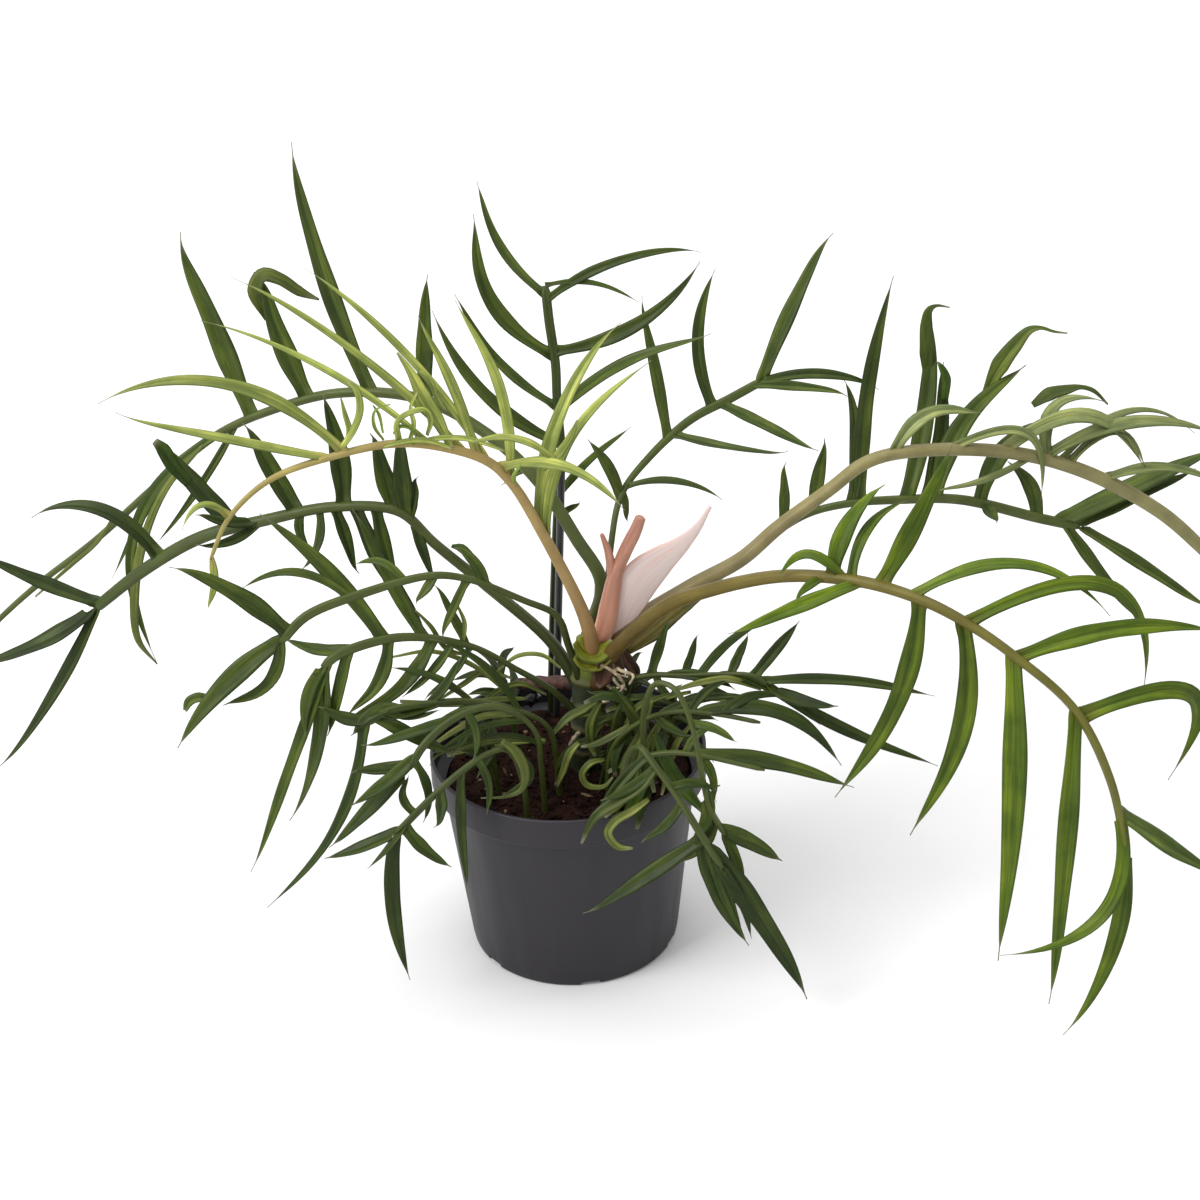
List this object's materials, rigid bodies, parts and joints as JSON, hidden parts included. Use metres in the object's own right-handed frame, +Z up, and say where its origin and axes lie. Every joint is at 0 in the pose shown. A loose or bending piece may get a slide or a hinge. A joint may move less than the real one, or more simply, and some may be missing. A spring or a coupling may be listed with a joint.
{
  "type": "potted philodendron tortum",
  "caption": "A philodendron tortum in a nursery pot: arching fronds of narrow leaflets round a short staked stem.",
  "frame": {"origin": "middle of the pot's flat underside, on the surface that it stands on", "axes": "+Z up, +X to the viewer's right along the plant's widest spread, and the viewer looks along +Y"},
  "size_m": [0.5885, 0.242, 0.3356],
  "materials": {
    "leaf_chartreuse": "satin, yellow-green leaf",
    "leaf_dark": "satin, dark green leaf",
    "leaf_mid": "satin, mid green leaf",
    "leaf_olive": "satin, olive green leaf",
    "leaf_bright": "satin, bright green leaf",
    "new_leaf": "satin, salmon brown leaf",
    "cataphyll": "satin, pale pink sheath",
    "stem": "rough, dark green stem",
    "stake": "matte black",
    "soil": "crumbled potting mix, near black",
    "pot": "matte dark grey"
  },
  "bodies": {
    "root": {"pot": "pot", "soil": "soil", "stem": "stem", "stake": "stake", "new_leaf": "new_leaf", "cataphyll": "cataphyll", "frond_chartreuse": "leaf_chartreuse", "frond_left_top": "leaf_dark", "frond_left_middle": "leaf_mid", "frond_left_low": "leaf_dark", "frond_left_lower": "leaf_dark", "frond_back": "leaf_dark", "frond_back_right": "leaf_dark", "frond_right_top": "leaf_olive", "frond_right_back": "leaf_dark", "frond_right_front": "leaf_bright", "frond_right_middle": "leaf_mid", "frond_pot_left_high": "leaf_mid", "frond_pot_left_arch": "leaf_mid", "frond_pot_left_low": "leaf_mid", "frond_rim_right_high": "leaf_mid", "frond_rim_right_low": "leaf_dark", "frond_drop_right": "leaf_dark", "frond_drop_front": "leaf_mid", "tuft_left": "leaf_mid", "tuft_middle": "leaf_mid", "tuft_right": "leaf_mid", "tuft_back_right": "leaf_mid", "tuft_back": "leaf_mid"}
  },
  "joints": []
}
